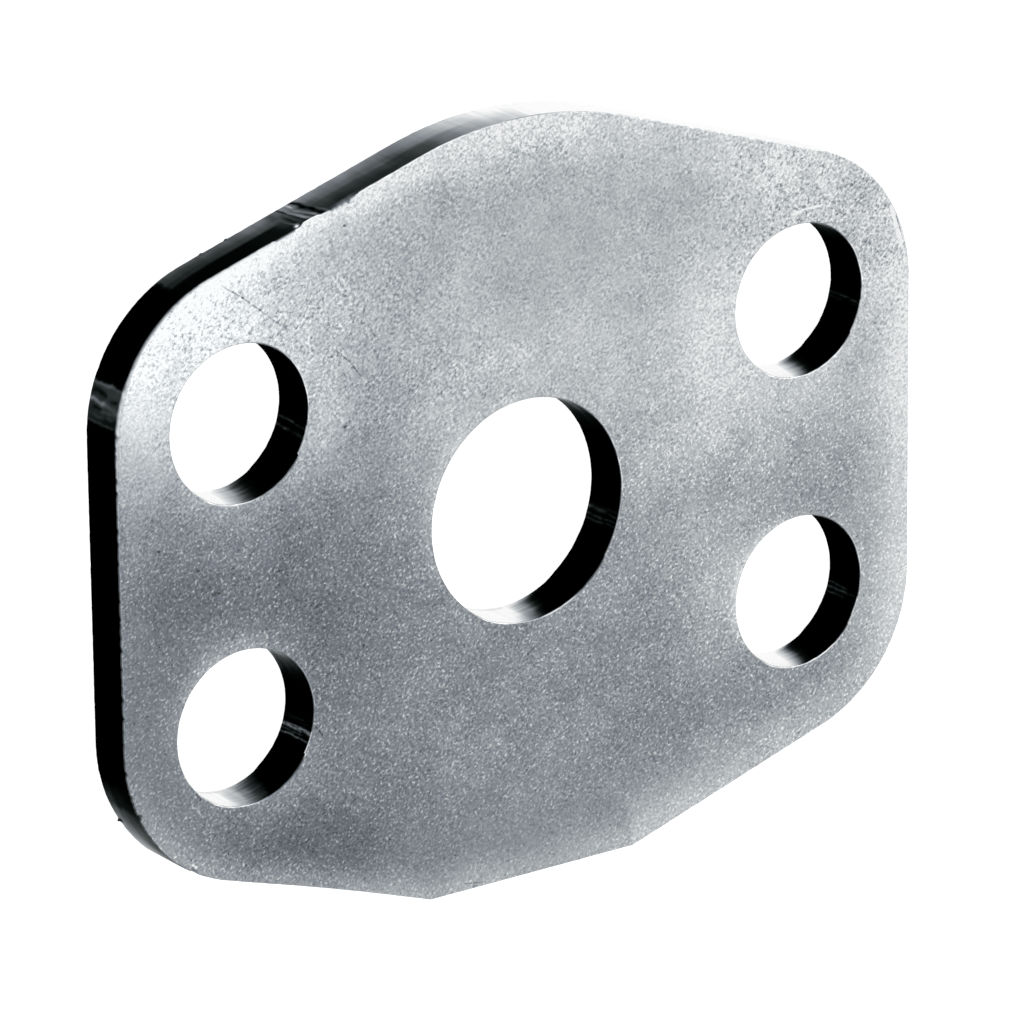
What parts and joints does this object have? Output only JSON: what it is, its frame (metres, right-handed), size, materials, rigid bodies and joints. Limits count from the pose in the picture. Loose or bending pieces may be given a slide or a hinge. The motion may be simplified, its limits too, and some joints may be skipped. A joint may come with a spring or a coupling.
{
  "type": "flange shim plate",
  "caption": "Flat laser-cut steel spacer plate for a hydraulic flange joint, with a centre bore, corner bolt holes, a curved crown and a cut-off lower edge.",
  "frame": {"origin": "centre of the bore on the back face, the face that the plate rests on", "axes": "+Z out of the front face along the bore, +X along the longer bolt spacing, +Y towards the edge that keeps its full crown"},
  "size_m": [0.054, 0.0445, 0.003],
  "materials": {
    "steel_plate": "pickled matt steel faces with fine speckle, dark laser-cut walls"
  },
  "bodies": {
    "root": {"shim_plate": "steel_plate"}
  },
  "joints": []
}
